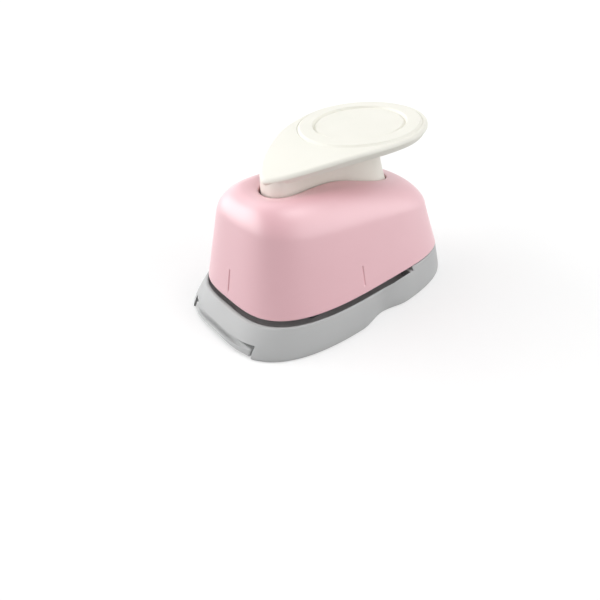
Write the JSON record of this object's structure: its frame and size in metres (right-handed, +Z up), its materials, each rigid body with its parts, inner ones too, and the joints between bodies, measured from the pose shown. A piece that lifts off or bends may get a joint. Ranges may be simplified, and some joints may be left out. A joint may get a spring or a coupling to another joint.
{
  "type": "die cutter",
  "caption": "hand-held lever craft punch that cuts round paper discs, with a pink plastic housing, grey base, ivory lever, steel punch and die, return spring and a slide-out disc tray",
  "frame": {"origin": "on the ground under the middle of the outer bounds of the whole object", "axes": "+Z up out of the ground, +Y towards the lever's pad at the rear, +X to the right seen from the front; the tray and the lever's nose are at the front, towards -Y"},
  "size_m": [0.0472, 0.072, 0.0465],
  "materials": {
    "housing_plastic": "semi-gloss moulded ABS, soft pink",
    "base_plastic": "fine satin moulded ABS, light grey",
    "lever_plastic": "fine satin moulded ABS, ivory",
    "cap_plastic": "moulded acetal, dark grey",
    "steel": "ground and plated steel",
    "zinc": "die-cast zinc, as cast"
  },
  "bodies": {
    "body": {"base": "base_plastic", "die_plate": "steel", "throat_spacer": "steel", "guide_block": "zinc", "return_spring": "steel", "pivot_bracket": "steel", "pivot_pin": "steel", "housing": "housing_plastic", "housing_screw_left": "steel", "housing_screw_right": "steel", "die_screw_left": "steel", "die_screw_right": "steel", "plate_screw_left": "steel", "plate_screw_right": "steel", "bracket_screw_left": "steel", "bracket_screw_right": "steel"},
    "lever": {"lever": "lever_plastic"},
    "plunger": {"punch": "steel", "plunger_cap": "cap_plastic", "cap_screw": "steel"},
    "tray": {"disc_tray": "base_plastic"}
  },
  "joints": [
    {"name": "lever_hinge", "type": "hinge", "parent": "body", "child": "lever", "pos_m": [0, -0.0152, 0.0334], "axis": [1, 0, 0], "range_deg": [-16, 0]},
    {"name": "plunger_slide", "type": "slide", "parent": "body", "child": "plunger", "axis": [0, 0, 1], "range_m": [-0.00293, 0], "stiffness_N_per_m": 580, "springref_m": 0.0018, "deforming": ["return_spring"]},
    {"name": "tray_slide", "type": "slide", "parent": "body", "child": "tray", "axis": [0, -1, 0], "range_m": [0, 0.03]}
  ],
  "couplings": [
    {"joint": "lever_hinge", "follows": "plunger_slide", "rad_per_m": 95.238}
  ]
}
